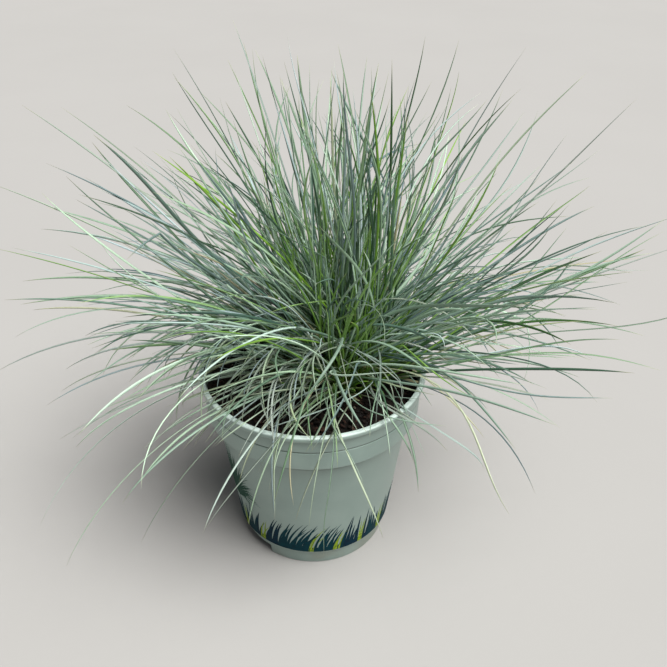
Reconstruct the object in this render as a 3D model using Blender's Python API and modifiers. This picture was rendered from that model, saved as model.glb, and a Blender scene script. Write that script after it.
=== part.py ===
"""A clump of blue fescue grass growing in a round plastic nursery pot. Metres, +Z up.

The origin is the middle of the pot's floor pad, on the surface that the pot stands on. The pot is
one thin moulded shell. A plug of potting mix fills it, and the clump's root crown sits on the mix,
a little to one side of the pot's axis. Each tuft of leaves is one tapering solid, from the crown to
the tips of its leaves.
"""

import math

import bmesh
import bpy
from mathutils import Vector

# Driving sizes of the pot.
RIM_RADIUS = 0.0900
POT_HEIGHT = 0.1625
COLLAR_RADIUS = 0.0866
COLLAR_FOOT_HEIGHT = 0.1290
BODY_TOP_RADIUS = 0.0790
BODY_FOOT_RADIUS = 0.0651
FOOT_RADIUS = 0.0607
FOOT_HEIGHT = 0.0160
WALL = 0.0017
FLOOR_HEIGHT = 0.0125
PAD_RADIUS = 0.0140
BEAD_HEIGHT = 0.0045
GROOVE_SIZE = 0.0006
FOOT_FLARE = 0.0022
POT_STEPS = 48

# Openings under the pot.
NOTCH_ANGLES = (-152.0, 28.0)
NOTCH_SPAN = 50.0
DRAIN_COUNT = 8
DRAIN_RADIUS = 0.0035
DRAIN_RING_RADIUS = 0.0430
NOTCH_ROOF = 0.0012
CUTTER_REACH = 0.0050

# The mix, the crown and the gap between neighbouring pieces.
GAP = 0.0003
MIX_HEIGHT = 0.1450
MIX_LUMP = 0.0013
MIX_TOP_RINGS = 6
MIX_LEVEL_EDGE = 0.0020
CROWN_CENTRE = Vector((0.0240, 0.0100))
CROWN_RADIUS = 0.0350
CROWN_RISE = 0.0120
CROWN_EDGE = 0.0010
CROWN_STEPS = 20
CROWN_TURNS = 7
CROWN_FOOT = MIX_HEIGHT + GAP

# The tufts stand in rings. Angles are in degrees, rise is the angle above level at the root, and
# bend is how far a tuft has turned towards the ground by its tip.
RINGS = (
    # name, count, first azimuth, rise, bend, length, widest radius
    ("heart", 3, 20.0, 84.0, 8.0, 0.242, 0.0065),
    ("inner", 8, 10.0, 70.0, 16.0, 0.260, 0.0090),
    ("middle", 12, 0.0, 53.0, 24.0, 0.264, 0.0105),
    ("outer", 14, 6.0, 39.0, 30.0, 0.258, 0.0110),
)
UPRIGHT_RISE = 60.0
LENGTH_SWAY = 0.045
RISE_SWAY = 2.0
# The clump is thinner on its front side, where the leaves are shorter and droop more.
FRONT_SHORTENING = 0.30
FRONT_DROOP = 35.0
TUFT_ROOT_RADIUS = 0.0011
TUFT_TIP_RADIUS = 0.0004
TUFT_POINTS = 8
TUFT_STANDOFF = 0.0012
TUFT_SWELL_SHIFT = 1.15
TUFT_SWELL_POWER = 0.9
BEND_POWER = 1.4

# Leaves that arch over the rim: azimuth, rise, bend, length, widest radius.
ARCHING = (
    (-161.0, 23.0, 80.0, 0.255, 0.0040),
    (-135.0, 25.0, 92.0, 0.245, 0.0040),
    (-110.0, 27.0, 112.0, 0.205, 0.0035),
    (-84.0, 30.0, 122.0, 0.165, 0.0030),
    (-58.0, 29.0, 86.0, 0.150, 0.0030),
    (-33.0, 28.0, 62.0, 0.190, 0.0035),
    (-7.0, 28.0, 54.0, 0.230, 0.0040),
    (19.0, 32.0, 74.0, 0.230, 0.0040),
    (45.0, 31.0, 80.0, 0.230, 0.0040),
    (70.0, 29.0, 82.0, 0.230, 0.0040),
    (96.0, 27.0, 80.0, 0.230, 0.0040),
    (122.0, 24.0, 74.0, 0.235, 0.0045),
    (147.0, 22.0, 62.0, 0.240, 0.0045),
    (173.0, 21.0, 64.0, 0.245, 0.0045),
)

COLOURS = {
    # colour, roughness
    "pot plastic": ((0.46, 0.60, 0.54), 0.38),
    "potting mix": ((0.030, 0.020, 0.015), 0.95),
    "leaf bases": ((0.16, 0.24, 0.07), 0.70),
    "upright leaves": ((0.17, 0.30, 0.22), 0.55),
    "leaning leaves": ((0.24, 0.37, 0.31), 0.55),
    "arching leaves": ((0.42, 0.52, 0.42), 0.55),
}


def clear_scene():
    for thing in list(bpy.data.objects):
        bpy.data.objects.remove(thing, do_unlink=True)


def new_collection(name):
    collection = bpy.data.collections.new(name)
    bpy.context.scene.collection.children.link(collection)
    return collection


def material(name):
    colour, roughness = COLOURS[name]
    made = bpy.data.materials.get(name) or bpy.data.materials.new(name)
    made.use_nodes = True
    shader = made.node_tree.nodes["Principled BSDF"]
    shader.inputs["Base Color"].default_value = (*colour, 1.0)
    shader.inputs["Roughness"].default_value = roughness
    shader.inputs["Metallic"].default_value = 0.0
    return made


def place(collection, name, data, finish):
    made = bpy.data.objects.new(name, data)
    made.data.materials.append(material(finish))
    collection.objects.link(made)
    return made


def turned(collection, name, profile, steps, finish):
    """A round piece: a profile of (radius, height) points, turned about the piece's own Z axis."""
    mesh = bpy.data.meshes.new(name)
    points = [(radius, 0.0, height) for radius, height in profile]
    edges = [(i, i + 1) for i in range(len(points) - 1)]
    mesh.from_pydata(points, edges, [])
    made = place(collection, name, mesh, finish)
    screw = made.modifiers.new("turn", "SCREW")
    screw.steps = steps
    screw.render_steps = steps
    screw.use_merge_vertices = True
    screw.merge_threshold = 0.00005
    screw.use_smooth_shade = True
    return made


def inside_profile():
    """The pot's inner face from the middle of the floor to the rim, as (radius, height) points."""
    slant = (BODY_TOP_RADIUS - BODY_FOOT_RADIUS) / (COLLAR_FOOT_HEIGHT - FOOT_HEIGHT)
    floor_corner = BODY_FOOT_RADIUS - WALL - slant * (FOOT_HEIGHT - FLOOR_HEIGHT)
    ledge_height = COLLAR_FOOT_HEIGHT + WALL
    return [
        (0.0, WALL),
        (PAD_RADIUS - 2 * WALL, WALL),
        (PAD_RADIUS, FLOOR_HEIGHT),
        (floor_corner - 0.0015, FLOOR_HEIGHT),
        (floor_corner, FLOOR_HEIGHT + 0.0015),
        (BODY_TOP_RADIUS - WALL, ledge_height - 0.0012),
        (BODY_TOP_RADIUS - WALL + 0.0008, ledge_height - 0.0002),
        (COLLAR_RADIUS - 1.8 * WALL, ledge_height),
        (COLLAR_RADIUS - 1.2 * WALL, ledge_height + 0.0014),
        (COLLAR_RADIUS - WALL, POT_HEIGHT - 0.0050),
        (COLLAR_RADIUS - 0.5 * WALL, POT_HEIGHT - 0.0012),
    ]


def outside_profile():
    """The pot's outer face from the rim down to the foot and in to the middle pad."""
    groove = 0.5 * (POT_HEIGHT + COLLAR_FOOT_HEIGHT)
    foot_top = FOOT_RADIUS + FOOT_FLARE
    floor_under = FLOOR_HEIGHT - WALL
    return [
        (COLLAR_RADIUS + 0.0004, POT_HEIGHT),
        (RIM_RADIUS - 0.0009, POT_HEIGHT),
        (RIM_RADIUS - 0.0002, POT_HEIGHT - 0.0006),
        (RIM_RADIUS, POT_HEIGHT - 0.0018),
        (RIM_RADIUS - 0.0003, POT_HEIGHT - BEAD_HEIGHT + 0.0008),
        (RIM_RADIUS - 0.0014, POT_HEIGHT - BEAD_HEIGHT),
        (COLLAR_RADIUS + 0.0003, POT_HEIGHT - BEAD_HEIGHT - 0.0006),
        (COLLAR_RADIUS, groove + GROOVE_SIZE),
        (COLLAR_RADIUS - GROOVE_SIZE, groove),
        (COLLAR_RADIUS - 0.0001, groove - GROOVE_SIZE),
        (COLLAR_RADIUS - 0.0004, COLLAR_FOOT_HEIGHT + 0.0008),
        (COLLAR_RADIUS - 0.0012, COLLAR_FOOT_HEIGHT),
        (BODY_TOP_RADIUS + 0.0010, COLLAR_FOOT_HEIGHT - 0.0002),
        (BODY_TOP_RADIUS, COLLAR_FOOT_HEIGHT - 0.0012),
        (BODY_FOOT_RADIUS + 0.0002, FOOT_HEIGHT + 0.0016),
        (BODY_FOOT_RADIUS, FOOT_HEIGHT + 0.0004),
        (BODY_FOOT_RADIUS - 0.0008, FOOT_HEIGHT - 0.0004),
        (foot_top, FOOT_HEIGHT - 0.0008),
        (FOOT_RADIUS + 0.0003, 0.0006),
        (FOOT_RADIUS - 0.0003, 0.0),
        (FOOT_RADIUS - WALL, 0.0),
        (foot_top - 1.3 * WALL, floor_under),
        (PAD_RADIUS + WALL, floor_under),
        (PAD_RADIUS - WALL, 0.0),
        (0.0, 0.0),
    ]


def foot_notch(cutters, index):
    """A wedge that opens the foot ring on one side, clear of the floor above it."""
    middle = math.radians(NOTCH_ANGLES[index])
    half = math.radians(NOTCH_SPAN / 2)
    near = FOOT_RADIUS - 4 * WALL
    far = FOOT_RADIUS + 2 * CUTTER_REACH
    turns = 8
    angles = [middle - half + 2 * half * i / turns for i in range(turns + 1)]
    outline = [Vector((far * math.cos(a), far * math.sin(a), 0.0)) for a in angles]
    outline += [Vector((near * math.cos(a), near * math.sin(a), 0.0)) for a in reversed(angles)]
    box = bmesh.new()
    below = [box.verts.new(point - Vector((0, 0, CUTTER_REACH))) for point in outline]
    floor = box.faces.new(below)
    raised = bmesh.ops.extrude_face_region(box, geom=[floor])
    top = [v for v in raised["geom"] if isinstance(v, bmesh.types.BMVert)]
    height = CUTTER_REACH + FLOOR_HEIGHT - WALL - NOTCH_ROOF
    bmesh.ops.translate(box, verts=top, vec=(0, 0, height))
    bmesh.ops.recalc_face_normals(box, faces=box.faces)
    mesh = bpy.data.meshes.new(f"notch_cutter_{index + 1}")
    box.to_mesh(mesh)
    box.free()
    return hidden_cutter(cutters, mesh)


def drain_cutter(cutters, index):
    angle = 2 * math.pi * (index + 0.5) / DRAIN_COUNT
    rod = bmesh.new()
    bmesh.ops.create_cone(
        rod,
        cap_ends=True,
        segments=12,
        radius1=DRAIN_RADIUS,
        radius2=DRAIN_RADIUS,
        depth=CUTTER_REACH + WALL,
    )
    mesh = bpy.data.meshes.new(f"drain_cutter_{index + 1}")
    rod.to_mesh(mesh)
    rod.free()
    made = hidden_cutter(cutters, mesh)
    made.location = (
        DRAIN_RING_RADIUS * math.cos(angle),
        DRAIN_RING_RADIUS * math.sin(angle),
        FLOOR_HEIGHT - WALL / 2,
    )
    return made


def hidden_cutter(cutters, mesh):
    made = bpy.data.objects.new(mesh.name, mesh)
    made.hide_render = True
    made.display_type = "WIRE"
    cutters.objects.link(made)
    return made


def make_pot(parts, cutters):
    profile = inside_profile() + outside_profile()
    pot = turned(parts, "pot", profile, POT_STEPS, "pot plastic")
    tools = [foot_notch(cutters, i) for i in range(len(NOTCH_ANGLES))]
    tools += [drain_cutter(cutters, i) for i in range(DRAIN_COUNT)]
    for tool in tools:
        cut = pot.modifiers.new(tool.name, "BOOLEAN")
        cut.operation = "DIFFERENCE"
        cut.object = tool


def make_mix(parts):
    """The plug of potting mix: the pot's inner face less the gap, with a lumpy top."""
    lining = [(radius - GAP, height + GAP) for radius, height in inside_profile()]
    lining[0] = (0.0, lining[0][1])
    below_top = [point for point in lining if point[1] < MIX_HEIGHT]
    wall = COLLAR_RADIUS - WALL - 2 * GAP
    shares = [1 - i / MIX_TOP_RINGS for i in range(MIX_TOP_RINGS + 1)]
    top = [(wall * share, MIX_HEIGHT) for share in shares]
    profile = list(reversed(below_top + top))
    mix = turned(parts, "potting_mix", profile, POT_STEPS, "potting mix")
    depsgraph = bpy.context.evaluated_depsgraph_get()
    mesh = bpy.data.meshes.new_from_object(mix.evaluated_get(depsgraph))
    mix.modifiers.clear()
    mix.data = mesh
    for vertex in mesh.vertices:
        x, y, z = vertex.co
        from_crown = (Vector((x, y)) - CROWN_CENTRE).length
        from_wall = wall - math.hypot(x, y)
        on_top = z > MIX_HEIGHT - GAP
        clear_of_crown = from_crown > CROWN_RADIUS + MIX_LEVEL_EDGE
        if on_top and clear_of_crown and from_wall > MIX_LEVEL_EDGE:
            wave = math.sin(190 * x + 1.3) * math.cos(230 * y - 0.6) + 0.6 * math.sin(410 * (x - y))
            vertex.co.z += MIX_LUMP * (wave - 1.2)
    mesh.shade_smooth()


def make_crown(parts):
    """The low mound of packed leaf bases."""
    angles = [math.pi / 2 * (1 - i / CROWN_TURNS) for i in range(CROWN_TURNS + 1)]
    dome = [(CROWN_RADIUS * math.cos(a), CROWN_RISE * math.sin(a) + CROWN_EDGE) for a in angles]
    dome[0] = (0.0, dome[0][1])
    profile = dome + [(CROWN_RADIUS - CROWN_EDGE, 0.0), (0.0, 0.0)]
    crown = turned(parts, "crown", profile, CROWN_STEPS, "leaf bases")
    crown.location = (*CROWN_CENTRE, CROWN_FOOT)


def leaf_path(azimuth, rise, bend, length, points):
    """Points along a leaf from the crown's dome. It leans outwards and turns down towards its tip."""
    out = Vector((math.cos(math.radians(azimuth)), math.sin(math.radians(azimuth)), 0.0))
    up = Vector((0.0, 0.0, 1.0))
    start = math.radians(rise)
    crown = Vector((*CROWN_CENTRE, CROWN_FOOT + CROWN_EDGE))
    place_now = crown + out * CROWN_RADIUS * math.cos(start) + up * CROWN_RISE * math.sin(start)
    place_now += TUFT_STANDOFF * (out * math.cos(start) + up * math.sin(start))
    path = [place_now.copy()]
    finer = 6
    steps = finer * (points - 1)
    for step in range(steps):
        along = (step + 0.5) / steps
        angle = start - math.radians(bend) * along**BEND_POWER
        place_now += (out * math.cos(angle) + up * math.sin(angle)) * length / steps
        if (step + 1) % finer == 0:
            path.append(place_now.copy())
    return path


def towards_front(azimuth):
    """0 at the back and sides of the clump, rising to 1 at its front."""
    return max(0.0, -math.sin(math.radians(azimuth))) ** 2


def tuft_radius(along, widest):
    """A spindle: narrow at the root, widest past the middle, and pointed at the tip."""
    swell = math.sin(math.pi * along**TUFT_SWELL_SHIFT) ** TUFT_SWELL_POWER
    ends = TUFT_ROOT_RADIUS + (TUFT_TIP_RADIUS - TUFT_ROOT_RADIUS) * along
    return ends + (widest - ends) * swell


def make_tuft(parts, name, azimuth, rise, bend, length, widest, finish):
    curve = bpy.data.curves.new(name, "CURVE")
    curve.dimensions = "3D"
    curve.bevel_depth = 1.0
    curve.bevel_resolution = 1
    curve.use_fill_caps = True
    path = leaf_path(azimuth, rise, bend, length, TUFT_POINTS)
    spline = curve.splines.new("POLY")
    spline.points.add(len(path) - 1)
    spline.use_smooth = True
    for i, point in enumerate(path):
        spline.points[i].co = (*point, 1.0)
        spline.points[i].radius = tuft_radius(i / (len(path) - 1), widest)
    place(parts, name, curve, finish)


def make_rings(parts):
    for name, count, first, rise, bend, length, widest in RINGS:
        finish = "upright leaves" if rise > UPRIGHT_RISE else "leaning leaves"
        for i in range(count):
            azimuth = first + 360.0 * i / count
            sway = math.sin(2.4 * i + len(name))
            front = towards_front(azimuth) * math.cos(math.radians(rise))
            make_tuft(
                parts,
                f"tuft_{name}_{i + 1:02d}",
                azimuth,
                rise + RISE_SWAY * math.cos(1.7 * i + rise),
                bend + FRONT_DROOP * front,
                length * (1 + LENGTH_SWAY * sway - FRONT_SHORTENING * front),
                widest,
                finish,
            )


def make_arching(parts):
    for i, (azimuth, rise, bend, length, widest) in enumerate(ARCHING):
        name = f"arching_leaves_{i + 1:02d}"
        make_tuft(parts, name, azimuth, rise, bend, length, widest, "arching leaves")


def main():
    clear_scene()
    parts = new_collection("potted_grass_clump")
    cutters = new_collection("cutters")
    make_pot(parts, cutters)
    make_mix(parts)
    make_crown(parts)
    make_rings(parts)
    make_arching(parts)


main()
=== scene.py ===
"""The looks of a clump of blue fescue grass in a round plastic nursery pot.

Every leaf is a thin folded blade of its own. The leaves that replace a tuft's solid are scattered
widely round the line of that solid in the frame, so they match the solids as a whole clump and not
one by one. Lengths are in metres and angles in degrees, unless a comment says otherwise.
"""

import math

import bmesh
import bpy
import numpy as np
from mathutils import Euler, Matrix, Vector


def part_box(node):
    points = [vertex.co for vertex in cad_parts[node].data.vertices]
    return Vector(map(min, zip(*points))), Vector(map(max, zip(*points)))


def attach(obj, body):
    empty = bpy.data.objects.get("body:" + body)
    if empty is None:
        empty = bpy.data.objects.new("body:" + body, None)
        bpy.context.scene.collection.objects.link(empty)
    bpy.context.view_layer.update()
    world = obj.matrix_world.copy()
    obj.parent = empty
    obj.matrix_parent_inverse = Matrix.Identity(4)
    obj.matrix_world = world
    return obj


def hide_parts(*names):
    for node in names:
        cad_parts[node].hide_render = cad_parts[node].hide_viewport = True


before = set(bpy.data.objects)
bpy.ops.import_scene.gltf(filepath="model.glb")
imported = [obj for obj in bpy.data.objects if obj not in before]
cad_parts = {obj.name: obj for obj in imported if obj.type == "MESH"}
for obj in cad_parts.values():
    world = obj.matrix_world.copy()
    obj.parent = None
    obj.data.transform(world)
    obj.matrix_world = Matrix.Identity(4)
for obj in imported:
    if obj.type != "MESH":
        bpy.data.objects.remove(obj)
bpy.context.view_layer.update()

SEED = 71

# The camera's place and angles. Its lens and sensor are in mm.
CAMERA_PLACE = (0.0, -0.518, 0.539)
CAMERA_DOWN = 33.86
CAMERA_RIGHT = 1.83
CAMERA_ROLL = 0.26
CAMERA_LENS = 43.4
CAMERA_SENSOR = 36.0

# The light comes from this direction. Its breadth, in degrees, makes its shadows soft.
KEY_FROM = (0.38, -0.27, 1.0)
KEY_BREADTH = 46.0
KEY_STRENGTH = 6.3
KEY_COLOUR = (1.0, 0.99, 0.97)
FILL_STRENGTH = 0.18
FILL_COLOUR = (0.93, 0.95, 1.0, 1)

# The floor is cloudy between two pale colours, and what the camera sees past it is as pale.
FLOOR_RADIUS = 8.0
FLOOR_COLOURS = ((0.328, 0.321, 0.310, 1), (0.335, 0.328, 0.317, 1))
BACKDROP_COLOUR = (0.700, 0.690, 0.672, 1)

# A leaf's cross-section is a folded blade, in units of its half width.
STATIONS = 22
FOLD = ((-1.0, 0.34), (0.0, -0.06), (1.0, 0.34), (0.66, -0.42), (0.0, -0.78), (-0.66, -0.42))
SIDES = len(FOLD)
LEAF_HALF_WIDTH = 0.00076

# Along a leaf, from 0 at the root to 1 at the tip: the root's share of the width, where the full width
# starts, where it ends, how fast the tip narrows after that, and the tip's share of the width.
ROOT_SHARE = 0.80
FULL_FROM = 0.15
FULL_TO = 0.70
TIP_POWER = 2.6
TIP_SHARE = 0.05

# How late along a leaf its bend and its swing come: at 1 they would be even.
BEND_POWER = 1.4
SWING_POWER = 1.3

# The gaps that leaves keep over the rim and over the mix.
RIM_CLEARANCE = 0.0012
MIX_CLEARANCE = 0.0004


def rng_for(name):
    """Random numbers of its own for each piece, so that one piece's changes leave the others be."""
    return np.random.default_rng([SEED, *name.encode()])


# ---------------------------------------------------------------- sizes read from the frame

pot_high = np.array(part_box("pot")[1])
mix_high = np.array(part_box("potting_mix")[1])
crown_low, crown_high = (np.array(corner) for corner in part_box("crown"))

RIM_RADIUS = pot_high[0]
POT_HEIGHT = pot_high[2]
WALL = 0.0017
GROOVE_HEIGHT = POT_HEIGHT - 0.0168
COLLAR_FOOT = POT_HEIGHT - 0.0335
MIX_RADIUS = mix_high[0]
MIX_TOP = mix_high[2]

# The crown is a dome on the mix.
CROWN = (crown_low + crown_high) / 2
CROWN_RADIUS = (crown_high[0] - crown_low[0]) / 2
CROWN_FOOT = crown_low[2]
CROWN_RISE = crown_high[2] - crown_low[2]


# ---------------------------------------------------------------- node materials


class Graph:
    """A short way to write a material's nodes. The functions below call theirs g."""

    def __init__(self, name):
        self.material = bpy.data.materials.new(name)
        self.material.use_nodes = True
        self.tree = self.material.node_tree
        self.shader = self.tree.nodes["Principled BSDF"]

    def node(self, kind, **settings):
        made = self.tree.nodes.new(kind)
        for key, value in settings.items():
            setattr(made, key, value)
        return made

    def put(self, value, socket):
        """Links an output to a socket, or sets the socket to a plain value."""
        if isinstance(value, bpy.types.NodeSocket):
            self.tree.links.new(value, socket)
        else:
            socket.default_value = value

    def attribute(self, name):
        return self.node("ShaderNodeAttribute", attribute_name=name).outputs["Fac"]

    def math(self, operation, a, b=0.0):
        made = self.node("ShaderNodeMath", operation=operation)
        self.put(a, made.inputs[0])
        self.put(b, made.inputs[1])
        return made.outputs[0]

    def band(self, value, start, end, low=0.0, high=1.0):
        """A smooth step from low to high as the value goes from start to end."""
        made = self.node("ShaderNodeMapRange", interpolation_type="SMOOTHSTEP")
        for socket, number in zip(made.inputs, (value, start, end, low, high)):
            self.put(number, socket)
        return made.outputs[0]

    def mix(self, factor, a, b):
        """Colour a where the factor is 0, and b where it is 1."""
        made = self.node("ShaderNodeMix", data_type="RGBA")
        factor_socket, a_socket, b_socket = made.inputs[0], made.inputs[6], made.inputs[7]
        self.put(factor, factor_socket)
        self.put(a, a_socket)
        self.put(b, b_socket)
        return made.outputs[2]

    def vector(self, x, y, z):
        made = self.node("ShaderNodeCombineXYZ")
        for socket, value in zip(made.inputs, (x, y, z)):
            self.put(value, socket)
        return made.outputs[0]

    def place(self):
        """Where the surface is, in metres."""
        return self.node("ShaderNodeTexCoord").outputs["Object"]

    def noise(self, vector, scale, detail=3.0):
        made = self.node("ShaderNodeTexNoise")
        self.put(vector, made.inputs["Vector"])
        made.inputs["Scale"].default_value = scale
        made.inputs["Detail"].default_value = detail
        made.inputs["Roughness"].default_value = 0.55
        return made.outputs["Fac"]

    def cells(self, vector, scale):
        made = self.node("ShaderNodeTexVoronoi")
        self.put(vector, made.inputs["Vector"])
        made.inputs["Scale"].default_value = scale
        return made.outputs["Distance"]

    def bump(self, height, strength, distance):
        made = self.node("ShaderNodeBump")
        made.inputs["Strength"].default_value = strength
        made.inputs["Distance"].default_value = distance
        self.put(height, made.inputs["Height"])
        self.put(made.outputs["Normal"], self.shader.inputs["Normal"])

    def colour(self, value):
        self.put(value, self.shader.inputs["Base Color"])

    def roughness(self, value):
        self.put(value, self.shader.inputs["Roughness"])

    def specular(self, level):
        self.shader.inputs["Specular IOR Level"].default_value = level


def leaf_material():
    """Green under a pale waxy bloom, yellow-green at the root, straw at the tip and when dry."""
    dark_green, light_green = (0.012, 0.052, 0.010, 1), (0.070, 0.180, 0.030, 1)
    young_green = (0.170, 0.350, 0.014, 1)
    root_green = (0.150, 0.230, 0.030, 1)
    dark_wax, light_wax = (0.080, 0.165, 0.130, 1), (0.680, 0.870, 0.700, 1)
    dark_blue_wax, light_blue_wax = (0.095, 0.150, 0.185, 1), (0.640, 0.780, 0.820, 1)
    dark_straw, light_straw = (0.330, 0.285, 0.150, 1), (0.560, 0.520, 0.330, 1)
    g = Graph("leaf")
    along = g.attribute("along")
    across = g.attribute("across")
    tone = g.attribute("tone")
    bloom = g.attribute("bloom")
    youth = g.attribute("youth")
    dry = g.attribute("dry")
    blue = g.attribute("blue")
    streak_place = g.vector(g.math("MULTIPLY", along, 26.0), across, g.math("MULTIPLY", tone, 90.0))
    streaks = g.noise(streak_place, 2.2, detail=4.0)
    green = g.mix(tone, dark_green, light_green)
    green = g.mix(youth, green, young_green)
    wax = g.mix(tone, dark_wax, light_wax)
    blue_wax = g.mix(tone, dark_blue_wax, light_blue_wax)
    wax = g.mix(g.band(blue, 0.45, 0.75), wax, blue_wax)
    worn = g.band(streaks, 0.30, 0.72, 0.72, 1.0)
    # The bloom thins towards the root: partly the leaf's own greener base, partly painted shade low in the
    # clump.
    waxed = g.math("MULTIPLY", g.math("MULTIPLY", bloom, worn), g.band(along, 0.08, 0.42))
    body = g.mix(waxed, green, wax)
    root = g.band(along, 0.0, 0.26, 0.80, 0.0)
    body = g.mix(root, body, root_green)
    straw = g.mix(streaks, dark_straw, light_straw)
    tip = g.band(along, 0.93, 1.0, 0.0, 0.55)
    body = g.mix(tip, body, straw)
    body = g.mix(dry, body, straw)
    g.colour(body)
    g.roughness(g.band(streaks, 0.25, 0.75, 0.40, 0.60))
    g.specular(0.42)
    return g.material


def plastic_material():
    """Pale sage plastic: a painted highlight on the rim, painted shade and some dirt in the groove, a
    painted shadow under the collar, and dark specks.
    """
    dark_sage, light_sage = (0.232, 0.312, 0.280, 1), (0.272, 0.354, 0.318, 1)
    rim_highlight_sage = (0.500, 0.600, 0.560, 1)
    groove_shade_and_dirt = (0.090, 0.110, 0.090, 1)
    collar_shadow = (0.125, 0.160, 0.140, 1)
    soil_dirt = (0.200, 0.190, 0.140, 1)
    speck_brown = (0.060, 0.055, 0.040, 1)
    g = Graph("pot_plastic")
    place = g.place()
    cloud = g.noise(place, 26.0, detail=5.0)
    fine = g.noise(place, 900.0, detail=2.0)
    base = g.mix(g.band(cloud, 0.3, 0.7), dark_sage, light_sage)
    height = g.node("ShaderNodeSeparateXYZ")
    g.put(place, height.inputs[0])
    z = height.outputs["Z"]
    # Painted highlight: the top of the rim is made paler, as if lit from above.
    highlight_on_rim = g.band(z, POT_HEIGHT - 0.0016, POT_HEIGHT - 0.0004)
    base = g.mix(highlight_on_rim, base, rim_highlight_sage)
    # Painted shade with some dirt: a thin dark line along the groove, patchy with the cloud.
    from_groove = g.math("ABSOLUTE", g.math("SUBTRACT", z, GROOVE_HEIGHT))
    in_groove = g.band(from_groove, 0.0002, 0.0007, 0.8, 0.0)
    groove_shade_and_dirt_mask = g.math("MULTIPLY", in_groove, g.band(cloud, 0.2, 0.5, 0.6, 1.0))
    base = g.mix(groove_shade_and_dirt_mask, base, groove_shade_and_dirt)
    # Painted shadow under the collar's overhang: the body darkens in a soft band just below it.
    collar_shadow_fade = g.band(z, COLLAR_FOOT - 0.0092, COLLAR_FOOT - 0.0066, 0.0, 0.72)
    under_collar = g.band(z, COLLAR_FOOT + 0.0003, COLLAR_FOOT + 0.0006, 1.0, 0.0)
    base = g.mix(g.math("MULTIPLY", collar_shadow_fade, under_collar), base, collar_shadow)
    low_dirt = g.math("MULTIPLY", g.band(z, 0.0, 0.030, 0.55, 0.0), g.band(cloud, 0.42, 0.62))
    base = g.mix(low_dirt, base, soil_dirt)
    speck = g.cells(place, 95.0)
    rare = g.band(g.noise(place, 60.0, detail=1.0), 0.60, 0.66)
    dots = g.math("MULTIPLY", g.band(speck, 0.045, 0.07, 1.0, 0.0), rare)
    base = g.mix(g.math("MULTIPLY", dots, 0.8), base, speck_brown)
    g.colour(base)
    g.roughness(g.math("ADD", g.band(cloud, 0.3, 0.7, 0.32, 0.42), g.math("MULTIPLY", dots, 0.3)))
    g.bump(fine, 0.10, 0.0002)
    g.specular(0.5)
    return g.material


def ink_material():
    """Printed grass, a little mottled. The hue attribute picks the ink, from teal at 0 to lime at 1."""
    dark_teal, light_teal = (0.000, 0.020, 0.030, 1), (0.001, 0.038, 0.050, 1)
    dark_navy, light_navy = (0.000, 0.012, 0.026, 1), (0.001, 0.026, 0.046, 1)
    dark_leaf, light_leaf = (0.012, 0.050, 0.032, 1), (0.030, 0.085, 0.060, 1)
    dark_lime, light_lime = (0.130, 0.210, 0.012, 1), (0.290, 0.390, 0.030, 1)
    g = Graph("printed_ink")
    hue = g.attribute("hue")
    mottle = g.band(g.noise(g.place(), 420.0), 0.3, 0.7)
    teal = g.mix(mottle, dark_teal, light_teal)
    navy = g.mix(mottle, dark_navy, light_navy)
    leaf = g.mix(mottle, dark_leaf, light_leaf)
    lime = g.mix(mottle, dark_lime, light_lime)
    ink = g.mix(g.band(hue, 0.20, 0.30), teal, navy)
    ink = g.mix(g.band(hue, 0.45, 0.55), ink, leaf)
    ink = g.mix(g.band(hue, 0.70, 0.80), ink, lime)
    g.colour(ink)
    g.roughness(g.band(mottle, 0.0, 1.0, 0.50, 0.62))
    g.specular(0.06)
    return g.material


def mix_material():
    """Damp peat and bark: near black, with brown and reddish crumbs and a rare pale grain."""
    dark_peat, light_peat = (0.003, 0.0025, 0.002, 1), (0.017, 0.012, 0.009, 1)
    dark_bark, light_bark = (0.016, 0.007, 0.005, 1), (0.075, 0.032, 0.020, 1)
    pale_grain = (0.220, 0.190, 0.150, 1)
    g = Graph("potting_mix")
    tone = g.attribute("tone")
    place = g.place()
    lumps = g.noise(place, 240.0, detail=5.0)
    peat = g.mix(g.band(lumps, 0.35, 0.65), dark_peat, light_peat)
    bark = g.mix(lumps, dark_bark, light_bark)
    colour = g.mix(g.band(tone, 0.70, 1.0), peat, bark)
    colour = g.mix(g.band(tone, 0.985, 0.987), colour, pale_grain)
    g.colour(colour)
    g.roughness(g.band(lumps, 0.3, 0.7, 0.62, 0.95))
    g.specular(0.25)
    g.bump(g.noise(place, 1500.0), 0.5, 0.0006)
    return g.material


def floor_material():
    g = Graph("floor")
    cloud = g.noise(g.place(), 3.0, detail=4.0)
    g.colour(g.mix(g.band(cloud, 0.3, 0.7), *FLOOR_COLOURS))
    g.roughness(0.85)
    return g.material


LEAF = leaf_material()
PLASTIC = plastic_material()
INK = ink_material()
MIX = mix_material()


# ---------------------------------------------------------------- mesh helpers


def new_piece(name, mesh, material):
    made = bpy.data.objects.new(name, mesh)
    bpy.context.scene.collection.objects.link(made)
    mesh.materials.append(material)
    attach(made, "root")
    return made


def mesh_from_arrays(name, points, corners, sizes, attributes):
    """A mesh from arrays: its points, the corners of all faces in a row, and each face's size."""
    mesh = bpy.data.meshes.new(name)
    mesh.vertices.add(len(points))
    mesh.vertices.foreach_set("co", np.ascontiguousarray(points, np.float32).ravel())
    mesh.loops.add(len(corners))
    mesh.loops.foreach_set("vertex_index", np.ascontiguousarray(corners, np.int32))
    starts = np.concatenate(([0], np.cumsum(sizes)[:-1])).astype(np.int32)
    mesh.polygons.add(len(sizes))
    mesh.polygons.foreach_set("loop_start", starts)
    mesh.polygons.foreach_set("use_smooth", np.ones(len(sizes), bool))
    mesh.update(calc_edges=True)
    for key, values in attributes.items():
        layer = mesh.attributes.new(key, "FLOAT", "POINT")
        layer.data.foreach_set("value", np.ascontiguousarray(values, np.float32).ravel())
    return mesh


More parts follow.
